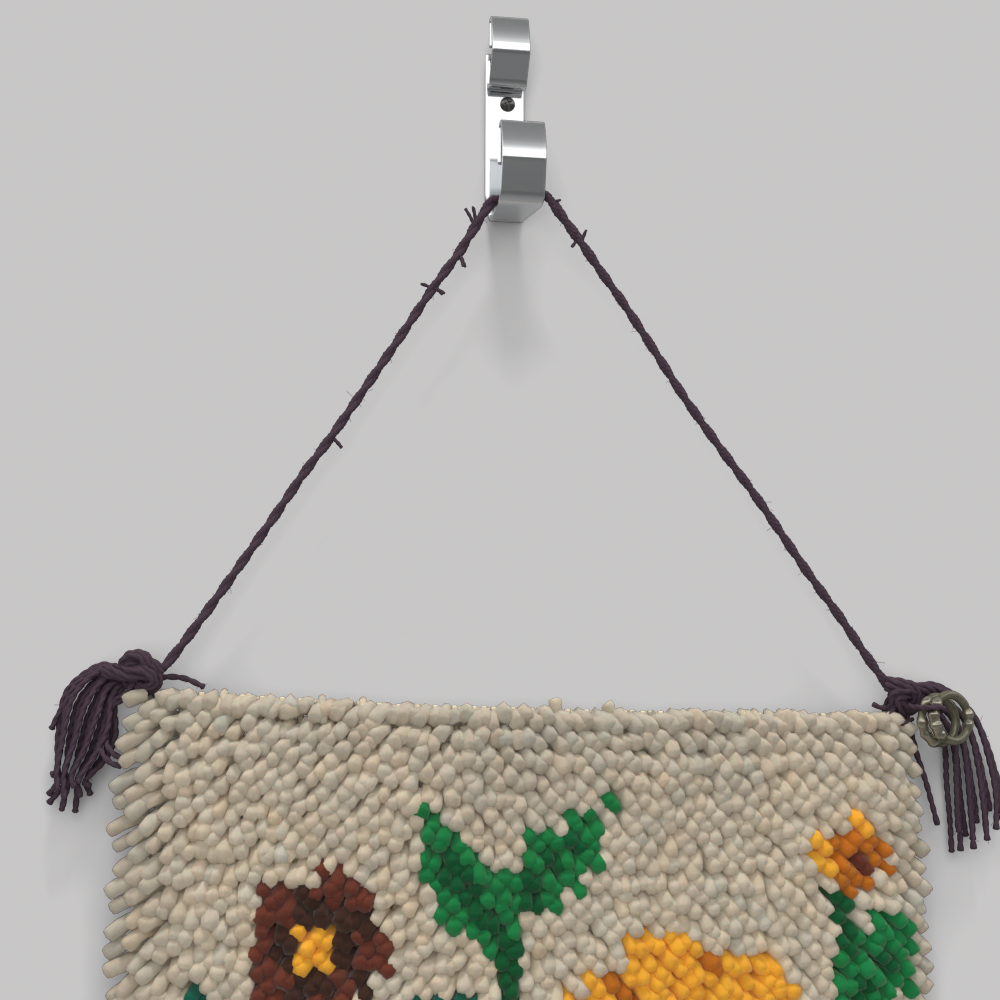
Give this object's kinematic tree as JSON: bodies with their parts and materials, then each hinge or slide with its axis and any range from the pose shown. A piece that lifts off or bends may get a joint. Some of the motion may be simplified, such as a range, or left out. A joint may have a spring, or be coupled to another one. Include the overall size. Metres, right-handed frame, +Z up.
{
  "type": "latch hook wall hanging on a wall hook",
  "caption": "A hooked-pile wall hanging with hemmed canvas, knotted cord tassels and brass rings, hung by its twisted cord on a plated strap wall hook",
  "frame": {"origin": "on the flat back of the hook's plate, where it lies on the wall, in the plane of the wall and level with the lower arm's tip", "axes": "+Y points into the wall that the hook's plate lies on; +Z points up along the hanging's long side; +X points to the right seen from the front"},
  "size_m": [0.3887, 0.0286, 0.7216],
  "materials": {
    "plated_steel": "bright plated strap, polished",
    "screw_steel": "plain steel screw head",
    "canvas_cotton": "stiff open-mesh cotton canvas",
    "pile_yarn": "cut yarn tufts, matte",
    "cord_yarn": "plied dark aubergine yarn, slightly fuzzy",
    "ring_brass": "aged brass, dull"
  },
  "bodies": {
    "root": {"hook_plate": "plated_steel", "hook_upper_arm": "plated_steel", "hook_screw": "screw_steel", "canvas": "canvas_cotton", "pile": "pile_yarn", "cord": "cord_yarn", "tassel_left": "cord_yarn", "tassel_right": "cord_yarn", "ring_front": "ring_brass", "ring_back": "ring_brass"}
  },
  "joints": []
}
